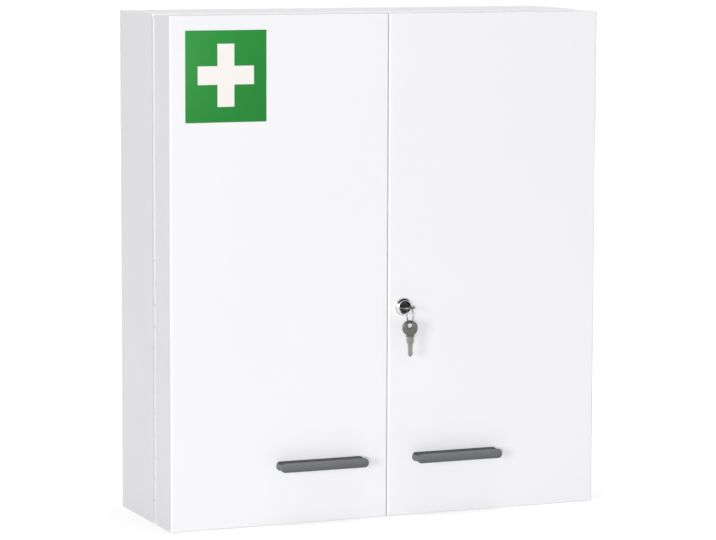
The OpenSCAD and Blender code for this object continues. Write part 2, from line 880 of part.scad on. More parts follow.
// Keeper plate inside the left door, slotted for the cam
module lock_keeper() {
    color(zinc) translate([-door_gap/2 - sheet_t - weld_gap - keeper_t, 0, 0]) difference() {
        translate([0, cam_slot_y - keeper_border.x, cam_slot_z - keeper_border.y])
            cube([keeper_t, cam_slot_d + 2*keeper_border.x, cam_slot_h + 2*keeper_border.y]);
        translate([-cut, cam_slot_y, cam_slot_z]) cube([keeper_t + 2*cut, cam_slot_d, cam_slot_h]);
    }
}

// ---- Keys ----

// Edge of the blade from the shoulder to the tip; side is 1 or -1
function blade_edge(side) = [for (point = bitting) [side*point[1]*blade_w/2, point[0]*blade_l]];

function reversed(points) = [for (i = [len(points) - 1 : -1 : 0]) points[i]];

// Key lying flat: the blade towards +Y from the shoulder, the bow towards -Y
module key_outline() {
    bow_y = bow_w/2 - bow_l;
    polygon(concat(blade_edge(1), reversed(blade_edge(-1))));
    translate([-collar_w/2, bow_y]) square([collar_w, -bow_y]);
    translate([0, bow_y]) circle(bow_w/2);
}

module key_blank() {
    linear_extrude(key_t, center = true) difference() {
        key_outline();
        translate([0, -hole_reach]) circle(bow_hole_d/2);
    }
}

module lock_key() {
    color(nickel) translate([lock_x, shoulder_y, lock_z]) key_blank();
}

module key_ring() {
    color(chrome) translate([lock_x, ring_y, ring_z]) rotate([0, 90, 0])
        rotate_extrude($fn = 96) translate([ring_r, 0]) circle(wire_d/2, $fn = 32);
}

// Key that hangs on the ring at the given distance from its middle
module hanging_key(y, lean) {
    translate([lock_x, ring_y + y, ring_z - ring_r]) rotate([0, lean, 0])
        translate([0, 0, spare_hole_z - ring_z + ring_r - hole_reach]) rotate([-90, 0, 0]) key_blank();
}

module spare_key() {
    color(nickel) hanging_key(-spare_pitch/2, 0);
}

module second_spare_key() {
    color(nickel) hanging_key(spare_pitch/2, -spare_lean);
}

// ---- Latch for the left door ----

// Riveted stud through the door flange, with a collar that reaches behind the case flange
module latch_stud() {
    collar_end = latch_y - stud_play;
    arm_end = latch_y + latch_t + stud_play;
    color(zinc) {
        y_rod(-latch_x, door_back - sheet_t - stud_head_t, latch_z, stud_head_d, stud_head_t);
        y_rod(-latch_x, door_back - sheet_t - cut/2, latch_z, latch_pin_d, arm_end - door_back + sheet_t + cut);
        y_rod(-latch_x, door_back, latch_z, stud_collar_d, collar_end - door_back);
        y_rod(-latch_x, arm_end, latch_z, stud_head_d, stud_head_t);
    }
}

// Turning arm, shown level: the open position
module latch_arm() {
    color(zinc) translate([-latch_x, latch_y, latch_z]) {
        rotate([-90, 0, 0]) linear_extrude(latch_t) difference() {
            union() {
                circle(latch_w/2);
                translate([-latch_reach, -latch_w/2]) square([latch_reach, latch_w]);
            }
            circle(latch_pin_d/2 + pin_clear);
        }
        translate([-latch_reach, 0, -latch_w/2]) cube([latch_t, thumb_h, latch_w]);
    }
}

left_side_panel();
right_side_panel();
top_panel();
bottom_panel();
back_panel();
left_shelf_rails();
right_shelf_rails();
lower_shelf();
upper_shelf();
shelf_clips();
left_hinge_case_leaf();
right_hinge_case_leaf();
left_hinge_pin();
right_hinge_pin();
catch_housings();
catch_magnets();
door_buffers();
left_door_skin();
left_door_top_cap();
left_door_bottom_cap();
left_hinge_door_leaf();
left_rack_low();
left_rack_middle();
left_rack_top();
left_guard_strip();
left_handle();
left_handle_screws();
lock_keeper();
latch_stud();
latch_arm();
right_door_skin();
right_door_top_cap();
right_door_bottom_cap();
right_hinge_door_leaf();
right_rack_low();
right_rack_middle();
right_rack_top();
right_guard_strip();
right_handle();
right_handle_screws();
lock_housing();
lock_nut();
lock_plug();
lock_cam();
cam_screw();
lock_key();
key_ring();
spare_key();
second_spare_key();
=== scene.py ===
import bmesh
import bpy
import json
from math import cos, pi, radians, sin
from mathutils import Matrix, Vector


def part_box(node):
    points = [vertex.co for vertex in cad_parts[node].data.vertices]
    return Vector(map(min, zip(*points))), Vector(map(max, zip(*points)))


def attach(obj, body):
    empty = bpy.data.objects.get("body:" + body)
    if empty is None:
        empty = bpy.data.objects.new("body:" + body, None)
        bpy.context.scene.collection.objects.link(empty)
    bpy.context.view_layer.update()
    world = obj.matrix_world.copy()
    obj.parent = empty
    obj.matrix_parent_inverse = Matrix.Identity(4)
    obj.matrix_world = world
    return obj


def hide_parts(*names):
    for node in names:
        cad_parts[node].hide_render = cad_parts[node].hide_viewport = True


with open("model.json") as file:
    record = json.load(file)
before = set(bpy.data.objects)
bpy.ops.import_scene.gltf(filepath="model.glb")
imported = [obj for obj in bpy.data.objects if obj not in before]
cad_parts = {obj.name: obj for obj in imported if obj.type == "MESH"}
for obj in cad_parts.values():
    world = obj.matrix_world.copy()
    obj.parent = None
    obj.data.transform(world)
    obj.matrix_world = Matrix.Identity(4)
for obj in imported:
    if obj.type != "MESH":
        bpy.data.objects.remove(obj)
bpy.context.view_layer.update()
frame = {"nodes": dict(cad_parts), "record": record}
nodes = frame["nodes"]
scene = bpy.context.scene
scene.view_settings.view_transform = "Standard"
mm = 0.001  # pieces are modelled in millimetres, and the scene is in metres
print("frame loaded:", len(nodes), "nodes")

view = {"place": (-1.45677, -3.49343, 0.73045), "turn": (83.312, -0.1925, -22.5975), "lens": 158.35}

camera = bpy.data.objects.new("camera", bpy.data.cameras.new("camera"))
camera.data.lens = view["lens"]
camera.data.sensor_width = 36
camera.data.clip_end = 100
camera.location = view["place"]
camera.rotation_euler = [radians(a) for a in view["turn"]]
scene.collection.objects.link(camera)
scene.camera = camera
print("camera placed")


class Value:
    # a shader socket that takes part in Python sums; each sum adds its Math node
    def __init__(self, tree, socket):
        self.tree = tree
        self.socket = socket

    def maths(self, operation, first, second):
        node = self.tree.nodes.new("ShaderNodeMath")
        node.operation = operation
        for index, term in enumerate((first, second)):
            if isinstance(term, Value):
                self.tree.links.new(term.socket, node.inputs[index])
            else:
                node.inputs[index].default_value = term
        return Value(self.tree, node.outputs[0])

    def __add__(self, other):
        return self.maths("ADD", self, other)

    def __sub__(self, other):
        return self.maths("SUBTRACT", self, other)

    def __rsub__(self, other):
        return self.maths("SUBTRACT", other, self)

    def __mul__(self, other):
        return self.maths("MULTIPLY", self, other)

    __radd__ = __add__


class Finish:
    # a node tree under construction: a material's, or the world's
    def __init__(self, owner):
        self.owner = owner
        owner.use_nodes = True
        self.tree = owner.node_tree
        self.tree.nodes.clear()

    def add(self, kind, settings=None, inputs=None, output=0):
        node = self.tree.nodes.new("ShaderNode" + kind)
        for name, setting in (settings or {}).items():
            setattr(node, name, setting)
        for name, term in (inputs or {}).items():
            if isinstance(term, Value):
                self.tree.links.new(term.socket, node.inputs[name])
            else:
                node.inputs[name].default_value = term
        return Value(self.tree, node.outputs[output])

    def where(self, stretch=(1, 1, 1), centre=(0, 0, 0)):
        # object coordinates, moved so that centre is their zero
        own = self.add("TexCoord", output="Object")
        moved = [-c * s for c, s in zip(centre, stretch)]
        return self.add("Mapping", None, {"Vector": own, "Location": moved, "Scale": stretch})

    def height(self):
        return self.add("SeparateXYZ", None, {0: self.add("TexCoord", output="Object")}, output="Z")

    def reach(self, stretch=(1, 1, 1), centre=(0, 0, 0)):
        # distance from the centre, along the axes that stretch keeps
        spot = self.where(stretch, centre)
        return self.add("VectorMath", {"operation": "LENGTH"}, {0: spot}, output="Value")

    def ramp(self, value, low, high):
        # 0 below low, 1 above high
        return self.add("MapRange", {"clamp": True}, {"Value": value, "From Min": low, "From Max": high})

    def pattern(self, look):
        # noise; where the look has a range, 0 below it and 1 above
        terms = {"Vector": self.where(look.get("stretch", (1, 1, 1))), "Scale": look["scale"],
                 "Detail": look.get("detail", 2), "Roughness": look.get("fineness", 0.5)}
        noise = self.add("TexNoise", None, terms)
        return self.ramp(noise, *look["range"]) if "range" in look else noise

    def blend(self, amount, first, second):
        return self.add("Mix", {"data_type": "RGBA"}, {0: amount, 6: first, 7: second}, output=2)

    def rough(self, look, **patterns):
        # the look's own roughness, and what each of its patterns adds
        return sum((pattern * look[name]["rise"] for name, pattern in patterns.items()), look["roughness"])

    def relief(self, look, height, before=None):
        terms = {"Height": height, "Distance": look["depth"], "Strength": look["strength"]}
        if before:
            terms["Normal"] = before
        return self.add("Bump", None, terms)

    def surface(self, **inputs):
        named = {name.replace("_", " "): term for name, term in inputs.items()}
        return self.close(self.add("BsdfPrincipled", None, named))

    def close(self, shader):
        kind = "Material" if isinstance(self.owner, bpy.types.Material) else "World"
        output = self.tree.nodes.new("ShaderNodeOutput" + kind)
        self.tree.links.new(shader.socket, output.inputs["Surface"])
        return self.owner


def newFinish(name):
    return Finish(bpy.data.materials.new(name))


def grey(level):
    return (level, level, level, 1)


# a lamp's level is the brightness it gives a white face turned towards it
studio = {
    "ambient": 0.20, "backdrop": 1.0, "aim": (0.0, -0.03, 0.3),
    "lamps": {
        "window": {"azimuth": 50, "elevation": 5, "distance": 7.0, "size": 2.1, "level": 0.29},
        "fill": {"azimuth": 24, "elevation": 5, "distance": 9.0, "size": 2.2, "level": 0.545},
        "side": {"azimuth": 80, "elevation": 14, "distance": 6.0, "size": 2.4, "level": 0.04},
        "rear": {"azimuth": -130, "elevation": 8, "distance": 6.0, "size": 2.4, "level": 0.44},
        "softbox": {"azimuth": 0, "elevation": 90, "distance": 3.6, "size": 1.2, "level": 0.515},
    },
    "floorSize": 30, "floorColour": 0.55, "liftNear": 0.62, "liftFar": 0.92, "liftFrom": 0.6, "liftTo": 4.5,
    "ceilingHeight": 2.6, "ceilingSize": 4.0, "ceilingColour": 0.02,
}


def whereSeen(make):
    # 1 for what the camera sees, straight or in a reflection or through glass
    rays = [make.add("LightPath", output=name)
            for name in ("Is Camera Ray", "Is Glossy Ray", "Is Transmission Ray")]
    return rays[0] + rays[1] + rays[2]


def makeWorld():
    # white where it is seen, plain ambient light for everything else
    world = bpy.data.worlds.new("studio")
    make = Finish(world)
    strength = whereSeen(make) * (studio["backdrop"] - studio["ambient"]) + studio["ambient"]
    make.close(make.add("Background", None, {"Color": grey(1), "Strength": strength}))
    scene.world = world


def makeLamp(name, azimuth, elevation, distance, size, level):
    lamp = bpy.data.lights.new(name, "AREA")
    lamp.shape = "DISK"
    lamp.size = size
    lamp.energy = level * (pi * distance) ** 2
    across, up = radians(azimuth), radians(elevation)
    away = Vector((-sin(across) * cos(up), -cos(across) * cos(up), sin(up)))
    holder = bpy.data.objects.new(name, lamp)
    holder.location = Vector(studio["aim"]) + away * distance
    holder.rotation_euler = away.to_track_quat("Z", "Y").to_euler()
    holder.visible_glossy = name != "softbox"  # the ceiling is seen there instead
    scene.collection.objects.link(holder)


def makeSheet(name, size, height, material):
    bm = bmesh.new()
    bmesh.ops.create_grid(bm, x_segments=1, y_segments=1, size=size,
                          matrix=Matrix.Translation((0, 0, height)))
    mesh = bpy.data.meshes.new(name)
    bm.to_mesh(mesh)
    bm.free()
    mesh.materials.append(material)
    sheet = bpy.data.objects.new(name, mesh)
    scene.collection.objects.link(sheet)
    return sheet


def makeFloor():
    # lit plainly for the object's sake, and lifted towards white where it is seen
    make = newFinish("pale_floor")
    lift = make.ramp(make.reach(), studio["liftFrom"], studio["liftTo"])
    lift = lift * (studio["liftFar"] - studio["liftNear"]) + studio["liftNear"]
    shade = make.add("BsdfDiffuse", None, {"Color": grey(studio["floorColour"])})
    glow = make.add("Emission", None, {"Color": grey(1), "Strength": whereSeen(make) * lift})
    lifted = make.close(make.add("AddShader", None, {0: shade, 1: glow}))
    makeSheet("floor", studio["floorSize"], 0, lifted)


def makeCeiling():
    # a dark ceiling that only reflections show, for the contrast in polished metal
    make = newFinish("dark_ceiling")
    dark = make.close(make.add("BsdfDiffuse", None, {"Color": grey(studio["ceilingColour"])}))
    ceiling = makeSheet("ceiling", studio["ceilingSize"], studio["ceilingHeight"], dark)
    for ray in ("camera", "diffuse", "transmission", "volume_scatter", "shadow"):
        setattr(ceiling, "visible_" + ray, False)


makeWorld()
for name, lamp in studio["lamps"].items():
    makeLamp(name, **lamp)
makeFloor()
makeCeiling()
print("studio lit")


# a pattern's scale counts its cells in a metre, its range holds where it starts and where it is full,
# its rise is what it adds to the roughness, and its depth is in metres
coat = {
    # the hinge share darkens the coat on the hinge leaves: painted shade
    "colour": (0.905, 0.902, 0.926, 1), "cooler": (0.892, 0.891, 0.920, 1), "hinge": 0.72, "roughness": 0.39,
    "drift": {"scale": 5, "range": (0.35, 0.7), "rise": 0.05},
    "speckle": {"scale": 2600, "detail": 1, "rise": 0.04, "share": 0.2},
    "peel": {"scale": 820, "fineness": 0.45, "depth": 0.00003, "strength": 0.5},
    "wave": {"scale": 7, "detail": 1, "depth": 0.0006, "strength": 0.25},
}


def powderCoat(name="powder_coat", shadeScale=1.0):
    # satin powder coat: fine orange peel over a sheet that isn't quite flat; a shade scale below 1 makes a
    # greyer copy, as painted shade
    make = newFinish(name)
    drift, speckle, peel, wave = (make.pattern(coat[part]) for part in ("drift", "speckle", "peel", "wave"))
    bumps = make.relief(coat["peel"], peel + speckle * coat["speckle"]["share"])
    bumps = make.relief(coat["wave"], wave, bumps)
    first, second = ([c * shadeScale for c in coat[shade][:3]] + [1] for shade in ("colour", "cooler"))
    return make.surface(Base_Color=make.blend(drift, first, second),
                        Roughness=make.rough(coat, drift=drift, speckle=speckle), Normal=bumps)


zinc = {
    "blue": (0.60, 0.615, 0.64, 1), "yellow": (0.70, 0.69, 0.64, 1), "roughness": 0.26,
    "grain": {"scale": 180, "detail": 3, "stretch": (1, 14, 1), "rise": 0.08, "depth": 0.00002,
              "strength": 0.4},
    "cloud": {"scale": 60, "detail": 3, "range": (0.35, 0.7), "rise": 0.12},
}


def zincPlate():
    # passivated plate: bluish, clouded with yellow, with the sheet's rolling grain
    make = newFinish("zinc_plate")
    grain, cloud = make.pattern(zinc["grain"]), make.pattern(zinc["cloud"])
    return make.surface(Base_Color=make.blend(cloud, zinc["blue"], zinc["yellow"]), Metallic=1.0,
                        Roughness=make.rough(zinc, cloud=cloud, grain=grain),
                        Normal=make.relief(zinc["grain"], grain))


plastic = {
    "face": {"top": (0.160, 0.168, 0.171, 1), "foot": (0.088, 0.092, 0.097, 1)},
    # the flank colours are painted shade, for the faces that look up
    "shadedFlank": {"top": (0.038, 0.040, 0.041, 1), "foot": (0.030, 0.031, 0.033, 1)}, "roughness": 0.44,
    "pores": {"scale": 2400, "rise": 0.06, "depth": 0.00003, "strength": 0.45},
    "flow": {"scale": 40, "stretch": (0.3, 1, 1), "range": (0.35, 0.7), "rise": 0.06, "shade": 0.15},
}


def greyPlastic(part, low, high):
    # moulded: fine pores and flow clouds; each part is lighter towards its top, as painted light from above
    make = newFinish("grey_plastic_" + part)
    pores, flow = make.pattern(plastic["pores"]), make.pattern(plastic["flow"])
    # painted light: lighter towards the top, plus the flow clouds
    paintedLightAndFlow = make.ramp(make.height(), low, high) + (flow - 0.5) * plastic["flow"]["shade"]
    return make.surface(Base_Color=make.blend(paintedLightAndFlow, plastic[part]["foot"], plastic[part]["top"]),
                        Roughness=make.rough(plastic, flow=flow, pores=pores),
                        Normal=make.relief(plastic["pores"], pores))


rubber = {
    "clean": (0.022, 0.022, 0.023, 1), "dusty": (0.06, 0.06, 0.062, 1), "roughness": 0.7,
    "dust": {"scale": 300, "detail": 3, "range": (0.5, 0.8), "rise": 0.15},
    "pores": {"scale": 1500, "depth": 0.00004, "strength": 0.5},
}


def blackRubber():
    make = newFinish("black_rubber")
    dust = make.pattern(rubber["dust"])
    return make.surface(Base_Color=make.blend(dust, rubber["clean"], rubber["dusty"]),
                        Roughness=make.rough(rubber, dust=dust),
                        Normal=make.relief(rubber["pores"], make.pattern(rubber["pores"])))


ferrite = {
    "dark": (0.05, 0.05, 0.055, 1), "ground": (0.12, 0.12, 0.125, 1), "metal": 0.6, "roughness": 0.35,
    "lines": {"scale": 500, "stretch": (0.05, 1, 1), "rise": 0.2, "depth": 0.00003, "strength": 0.5},
}


def groundFerrite():
    # a magnet's face, with the lines of its grinding across it
    make = newFinish("ground_ferrite")
    lines = make.pattern(ferrite["lines"])
    return make.surface(Base_Color=make.blend(lines, ferrite["dark"], ferrite["ground"]),
                        Metallic=ferrite["metal"], Roughness=make.rough(ferrite, lines=lines),
                        Normal=make.relief(ferrite["lines"], lines))


chrome = {
    "colour": (0.74, 0.745, 0.76, 1), "hazy": (0.62, 0.625, 0.64, 1), "recessShade": (0.030, 0.030, 0.033, 1),
    "roughness": 0.07, "recessInner": 0.0070, "recessOuter": 0.0081, "recessRise": 0.25,
    "haze": {"scale": 420, "detail": 3, "range": (0.45, 0.75), "rise": 0.10},
    "rub": {"scale": 900, "stretch": (1, 0.1, 1), "rise": 0.05, "depth": 0.000004, "strength": 0.4},
}


def chromePlate(name, axis=None):
    # polished, with a faint haze; around an axis the recess gets painted shade, and is rougher
    make = newFinish(name)
    haze, rub = make.pattern(chrome["haze"]), make.pattern(chrome["rub"])
    colour = make.blend(haze, chrome["colour"], chrome["hazy"])
    roughness = make.rough(chrome, haze=haze, rub=rub)
    if axis:
        reach = make.reach(stretch=(1, 0, 1), centre=axis)
        inside = 1 - make.ramp(reach, chrome["recessInner"], chrome["recessOuter"])
        # painted shade inside the lock's recess
        colour = make.blend(inside, colour, chrome["recessShade"])
        roughness = roughness + inside * chrome["recessRise"]
    return make.surface(Base_Color=colour, Metallic=1.0, Roughness=roughness,
                        Normal=make.relief(chrome["rub"], rub))


plug = {
    "black": (0.030, 0.030, 0.032, 1), "bare": (0.085, 0.085, 0.09, 1), "roughness": 0.28,
    "grain": {"scale": 700, "detail": 3, "rise": 0.15, "depth": 0.00002, "strength": 0.5},
}


def plugPaintedShade():
    # die-cast plug, near black as painted shade for the inside of the lock, with bare metal in its grain
    make = newFinish("plug_painted_shade")
    grain = make.pattern(plug["grain"])
    return make.surface(Base_Color=make.blend(grain, plug["black"], plug["bare"]), Metallic=1.0,
                        Roughness=make.rough(plug, grain=grain), Normal=make.relief(plug["grain"], grain))


nickel = {
    "bow": (0.140, 0.138, 0.124, 1), "bowRubbed": (0.205, 0.202, 0.184, 1),
    "blade": (0.25, 0.25, 0.235, 1), "bladeRubbed": (0.32, 0.32, 0.30, 1), "roughness": 0.28,
    "rub": {"scale": 260, "detail": 3, "range": (0.42, 0.72), "rise": 0.12},
    "grain": {"scale": 1100, "stretch": (1, 1, 0.08), "rise": 0.10, "depth": 0.00001, "strength": 0.4},
}


def nickelPlate(part):
    # tarnished plate, brighter where handling has rubbed it
    make = newFinish("nickel_" + part)
    rub, grain = make.pattern(nickel["rub"]), make.pattern(nickel["grain"])
    return make.surface(Base_Color=make.blend(rub, nickel[part], nickel[part + "Rubbed"]), Metallic=1.0,
                        Roughness=make.rough(nickel, rub=rub, grain=grain),
                        Normal=make.relief(nickel["grain"], grain))


wire = {
    "dark": (0.15, 0.15, 0.16, 1), "dull": (0.24, 0.24, 0.25, 1), "roughness": 0.22,
    "patches": {"scale": 500, "detail": 3, "range": (0.4, 0.75), "rise": 0.15, "depth": 0.00001,
                "strength": 0.3},
}


def springSteel():
    # bare wire of the split ring, dulled in patches
    make = newFinish("spring_steel")
    patches = make.pattern(wire["patches"])
    return make.surface(Base_Color=make.blend(patches, wire["dark"], wire["dull"]), Metallic=1.0,
                        Roughness=make.rough(wire, patches=patches),
                        Normal=make.relief(wire["patches"], patches))


film = {
    "green": (0.020, 0.262, 0.040, 1), "foot": (0.011, 0.222, 0.028, 1), "footRange": (0.476, 0.584),
    "footShare": 0.8, "mottleShare": 0.2, "white": (0.925, 0.885, 0.845, 1), "shaded": 0.985,
    "roughness": 0.40, "sheen": 0.3,
    "mottle": {"scale": 900, "rise": 0.06, "depth": 0.000008, "strength": 0.4},
}


def printedFilm(make, colour, mottle):
    return make.surface(Base_Color=colour, Roughness=make.rough(film, mottle=mottle),
                        Specular_IOR_Level=film["sheen"], Normal=make.relief(film["mottle"], mottle))


def greenFilm():
    # printed film, a little deeper towards its foot
    make = newFinish("green_film")
    foot = 1 - make.ramp(make.height(), *film["footRange"])
    mottle = make.pattern(film["mottle"])
    deeper = foot * film["footShare"] + mottle * film["mottleShare"]
    return printedFilm(make, make.blend(deeper, film["green"], film["foot"]), mottle)


def whiteFilm():
    make = newFinish("white_film")
    mottle = make.pattern(film["mottle"])
    shaded = [c * film["shaded"] for c in film["white"][:3]] + [1]
    return printedFilm(make, make.blend(mottle, film["white"], shaded), mottle)


def corners(node):
    # a node's lowest and highest corners, in millimetres
    return [Vector(corner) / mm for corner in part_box(node)]


lockAxis = sum(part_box("lock_plug"), Vector()) / 2
handleHeight = [corner.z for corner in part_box("left_handle")]
finishes = {
    "coated_steel": powderCoat(), "zinc_steel": zincPlate(),
    "grey_plastic": greyPlastic("face", *handleHeight),
    "black_rubber": blackRubber(), "magnet": groundFerrite(), "chrome": chromePlate("chrome_plate"),
    "nickel": nickelPlate("bow"),
}
bladeFinish = nickelPlate("blade")
# painted shade for the handle's upward faces
shadedFlankFinish = greyPlastic("shadedFlank", *handleHeight)
# the hinge leaves get a greyer copy of the coat: painted shade that dims the knuckles' highlight
hingeShadedCoat = powderCoat("hinge_coat_painted_shade", coat["hinge"])
# the bezel's recess and the plug carry painted shade
special = {"lock_housing": chromePlate("chrome_bezel", tuple(lockAxis)), "lock_plug": plugPaintedShade()}
for side in ("left", "right"):
    special[side + "_hinge_case_leaf"] = hingeShadedCoat
    special[side + "_hinge_door_leaf"] = hingeShadedCoat
for part in frame["record"]["subparts"]:
    materials = nodes[part["node"]].data.materials
    materials.clear()
    materials.append(special.get(part["node"], finishes[part["material_slot"]]))
print("finishes given to:", len(nodes), "nodes")


def place(bm, name, finish, body, replaced=(), smoothAngle=35):
    # turns a finished bmesh, modelled in millimetres where it sits, into a piece of the object
    bmesh.ops.scale(bm, vec=(mm, mm, mm), verts=bm.verts)
    mesh = bpy.data.meshes.new(name)
    bm.to_mesh(mesh)
    bm.free()
    mesh.shade_smooth()
    mesh.set_sharp_from_angle(angle=radians(smoothAngle))
    mesh.materials.append(finish)
    piece = bpy.data.objects.new(name, mesh)
    scene.collection.objects.link(piece)
    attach(piece, body)
    if replaced:
        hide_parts(*replaced)
    return piece


def block(bm, low, high):
    # box between two corners
    low, high = Vector(low), Vector(high)
    size = Matrix.Diagonal((*(high - low), 1))
    bmesh.ops.create_cube(bm, size=1, matrix=Matrix.Translation((low + high) / 2) @ size)


def cut(bm, point, normal):
    # new edges all the way round, where a plane passes
    bmesh.ops.bisect_plane(bm, geom=bm.verts[:] + bm.edges[:] + bm.faces[:], plane_co=point, plane_no=normal)


def heal(bm, gap=0.001):
    # closes seams and poles, and turns the faces outwards
    bmesh.ops.remove_doubles(bm, verts=bm.verts, dist=gap)
    bmesh.ops.recalc_face_normals(bm, faces=bm.faces)


def vertsOf(geometry):
    return [g for g in geometry if isinstance(g, bmesh.types.BMVert)]


def isAt(value, target):
    return abs(value - target) < 0.01  # of a millimetre: near enough to lie on it


def looking(bm, side):
    # the faces that look up (side 1) or down (side -1)
    return [f for f in bm.faces if f.normal.z * side > 0.9]


def bends(bm, angle):
    # the edges where two faces meet more sharply than the angle
    return [e for e in bm.edges if len(e.link_faces) == 2 and e.calc_face_angle() > radians(angle)]


def soften(bm, width, segments=2, angle=40, edges=None):
    if edges is None:
        edges = bends(bm, angle)
    bmesh.ops.bevel(bm, geom=edges, offset=width, offset_type="OFFSET", affect="EDGES",
                    segments=segments, profile=0.5, material=-1, clamp_overlap=True)


# the cross is given in shares of the sign's width and height, from the sign's upper left corner
sign = {
    "left": -253.8, "top": 582.3, "width": 99.5, "height": 106.0, "thickness": 0.25, "edge": 0.06,
    "armLeft": 0.152, "armRight": 0.844, "armTop": 0.387, "armBottom": 0.590,
    "postLeft": 0.394, "postRight": 0.602, "postTop": 0.146, "postBottom": 0.831,
    "crossThickness": 0.12, "crossEdge": 0.04,
}


def makeSign():
    front = corners("left_door_skin")[0].y
    face = front - sign["thickness"]
    bm = bmesh.new()
    block(bm, (sign["left"], face, sign["top"] - sign["height"]),
          (sign["left"] + sign["width"], front, sign["top"]))
    soften(bm, sign["edge"])
    place(bm, "sign_plate", greenFilm(), "left_door")
    # the cross: its arm first, then the post grown out of the arm's middle faces
    armLeft, armRight, postLeft, postRight = (
        sign["left"] + sign["width"] * sign[edge] for edge in
        ("armLeft", "armRight", "postLeft", "postRight"))
    armTop, armBottom, postTop, postBottom = (
        sign["top"] - sign["height"] * sign[edge] for edge in
        ("armTop", "armBottom", "postTop", "postBottom"))
    bm = bmesh.new()
    block(bm, (armLeft, face - sign["crossThickness"], armBottom), (armRight, face, armTop))
    cut(bm, (postLeft, 0, 0), (1, 0, 0))
    cut(bm, (postRight, 0, 0), (1, 0, 0))
    for side, reach in ((1, postTop), (-1, postBottom)):
        grown = [f for f in looking(bm, side) if postLeft < f.calc_center_median().x < postRight]
        for f in bmesh.ops.extrude_discrete_faces(bm, faces=grown)["faces"]:
            for v in f.verts:
                v.co.z = reach
    heal(bm)
    soften(bm, sign["crossEdge"], 1)
    place(bm, "sign_cross", whiteFilm(), "left_door")


makeSign()
print("sign made")


# the crown's cuts are shares of half the height, and the flank entry is the least z of the normal of a face
# that gets painted shade
handle = {
    "grip": 5.4, "foot": 4.6, "waist": 1.9, "endWaist": 1.1, "waistRound": 2.4, "endRound": 4.6,
    "frontEdge": 1.9, "backEdge": 0.5, "rimAngle": 50, "crown": 0.5, "crownCuts": (-0.6, -0.3, 0, 0.3, 0.6),
    "shadedFlank": 0.6, "endSegments": 8, "roundSegments": 5,
}


def makeHandle(side):
    # a bar with rounded ends, waisted between the foot on the door and the crowned grip
    low, high = corners(side + "_handle")
    size, middle = high - low, (low + high) / 2
    bm = bmesh.new()
    block(bm, low, high)
    ends = [e for e in bm.edges if isAt(abs(e.verts[0].co.y - e.verts[1].co.y), size.y)]
    soften(bm, handle["endRound"], handle["endSegments"], edges=ends)
    near, far = low.y + handle["grip"], high.y - handle["foot"]
    waist = (near + far) / 2
    for y in (near, waist, far):
        cut(bm, (0, y, 0), (0, 1, 0))
    pinch = (1 - 2 * handle["endWaist"] / size.x, 1, 1 - 2 * handle["waist"] / size.z)
    bmesh.ops.scale(bm, vec=pinch, verts=[v for v in bm.verts if isAt(v.co.y, waist)],
                    space=Matrix.Translation(-middle))
    rings = [e for e in bm.edges if any(all(isAt(v.co.y, y) for v in e.verts) for y in (near, waist, far))]
    soften(bm, handle["waistRound"], handle["roundSegments"], edges=rings)
    for share in handle["crownCuts"]:
        cut(bm, (0, 0, middle.z + share * size.z / 2), (0, 0, 1))
    for v in bm.verts:
        if isAt(v.co.y, low.y):
            v.co.y += handle["crown"] * ((v.co.z - middle.z) / (size.z / 2)) ** 2
    bm.normal_update()
    front = [e for e in bends(bm, handle["rimAngle"]) if e.verts[0].co.y < middle.y]
    soften(bm, handle["frontEdge"], handle["roundSegments"], edges=front)
    back = [e for e in bends(bm, handle["rimAngle"]) if all(isAt(v.co.y, high.y) for v in e.verts)]
    soften(bm, handle["backEdge"], edges=back)
    bm.normal_update()
    # faces that look up get the dark flank finish: painted shade on the handle's top
    for f in bm.faces:
        f.material_index = int(f.normal.z > handle["shadedFlank"])
    bar = place(bm, side + "_handle_bar", finishes["grey_plastic"], side + "_door",
                [side + "_handle"], smoothAngle=50)
    bar.data.materials.append(shadedFlankFinish)


# the head's edge is the straight part below its dome; the cross's floor is recessTaper times its mouth
screw = {"headThickness": 2.4, "edgeHeight": 0.8, "domeSteps": 6, "segments": 40,
         "recessWidth": 1.1, "recessLength": 4.4, "recessDepth": 1.2, "recessTaper": 0.75}


def turnScrew(bm, crown, radius, tip):
    # head and shank in one section, turned about the axis below the head's crown
    rise = screw["headThickness"] - screw["edgeHeight"]
    neck = crown.y - screw["headThickness"]
    angles = [step * pi / 2 / screw["domeSteps"] for step in range(screw["domeSteps"] + 1)]
    section = [(radius * sin(a), crown.y - rise + rise * cos(a)) for a in angles]
    section += [(radius, neck), (radius / 2, neck), (radius / 2, tip), (0, tip)]
    points = [bm.verts.new((crown.x + r, y, crown.z)) for r, y in section]
    lines = [bm.edges.new(pair) for pair in zip(points, points[1:])]
    bmesh.ops.spin(bm, geom=points + lines, cent=crown, axis=(0, 1, 0), angle=2 * pi,
                   steps=screw["segments"], use_merge=True)


def sinkCross(bm, crown):
    # takes the faces inside the cross down to its floor
    crossed = []
    for f in bm.faces:
        offset = f.calc_center_median() - crown
        inner, outer = sorted((abs(offset.x), abs(offset.z)))
        onDome = offset.y > screw["edgeHeight"] - screw["headThickness"]
        if onDome and inner < screw["recessWidth"] / 2 and outer < screw["recessLength"] / 2:
            crossed.append(f)
    sunk = vertsOf(bmesh.ops.extrude_face_region(bm, geom=crossed)["geom"])
    bmesh.ops.delete(bm, geom=crossed, context="FACES")
    for v in sunk:
        v.co = crown + (v.co - crown) * screw["recessTaper"]
        v.co.y = crown.y - screw["recessDepth"]


